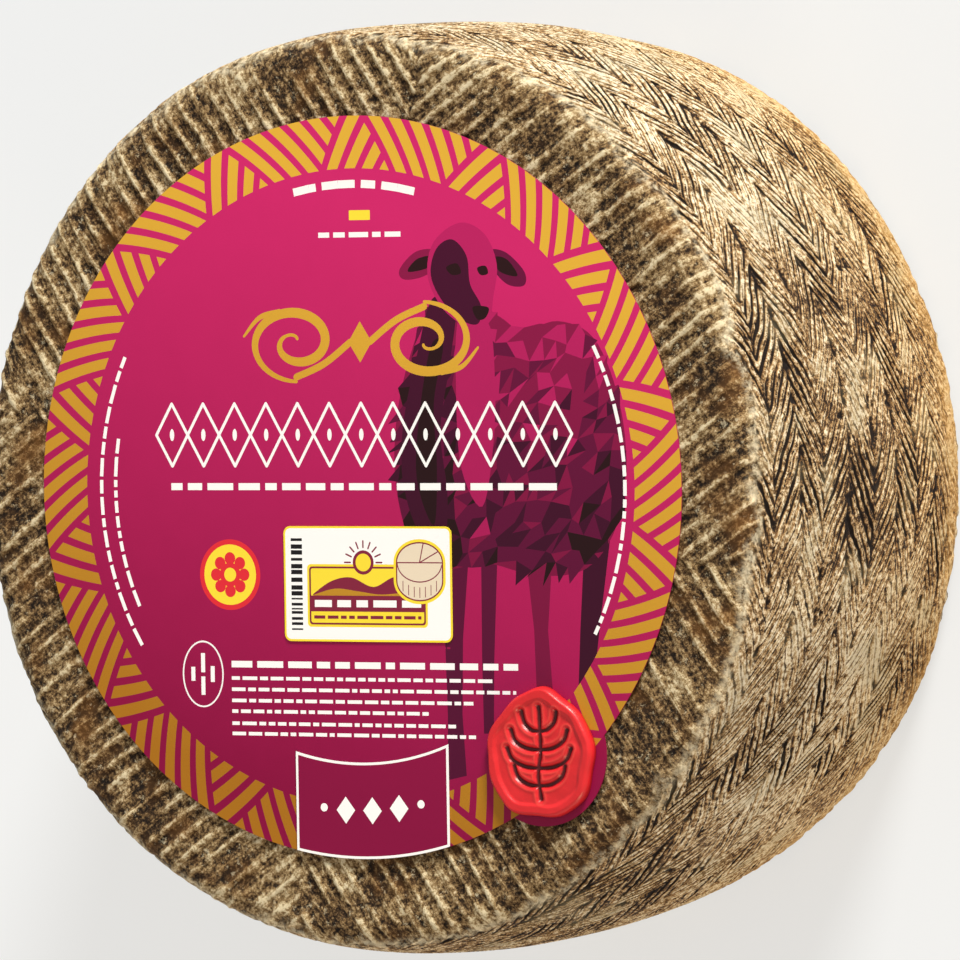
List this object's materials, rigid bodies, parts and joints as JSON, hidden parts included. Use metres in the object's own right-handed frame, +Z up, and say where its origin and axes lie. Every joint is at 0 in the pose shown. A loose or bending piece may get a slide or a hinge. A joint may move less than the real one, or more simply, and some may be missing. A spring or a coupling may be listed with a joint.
{
  "type": "cheese wheel",
  "caption": "Whole wheel of pressed hard cheese with a plait-marked natural rind, a round printed paper label with stickers and a red wax seal on its upper face.",
  "frame": {"origin": "centre of the box's underside, on the flat unlabelled face that the wheel rests on", "axes": "+Z up through the wheel from the resting face to the labelled face, +Y towards the top of the label's print, +X towards its right-hand side"},
  "size_m": [0.1982, 0.2018, 0.1006],
  "materials": {
    "rind": "matte",
    "label_print": "satin",
    "sticker_paper": "satin",
    "tag_print": "satin",
    "seal_wax": "satin"
  },
  "bodies": {
    "root": {"cheese_wheel": "rind", "face_label": "label_print", "number_sticker": "sticker_paper", "age_tag": "tag_print", "wax_seal": "seal_wax"}
  },
  "joints": []
}
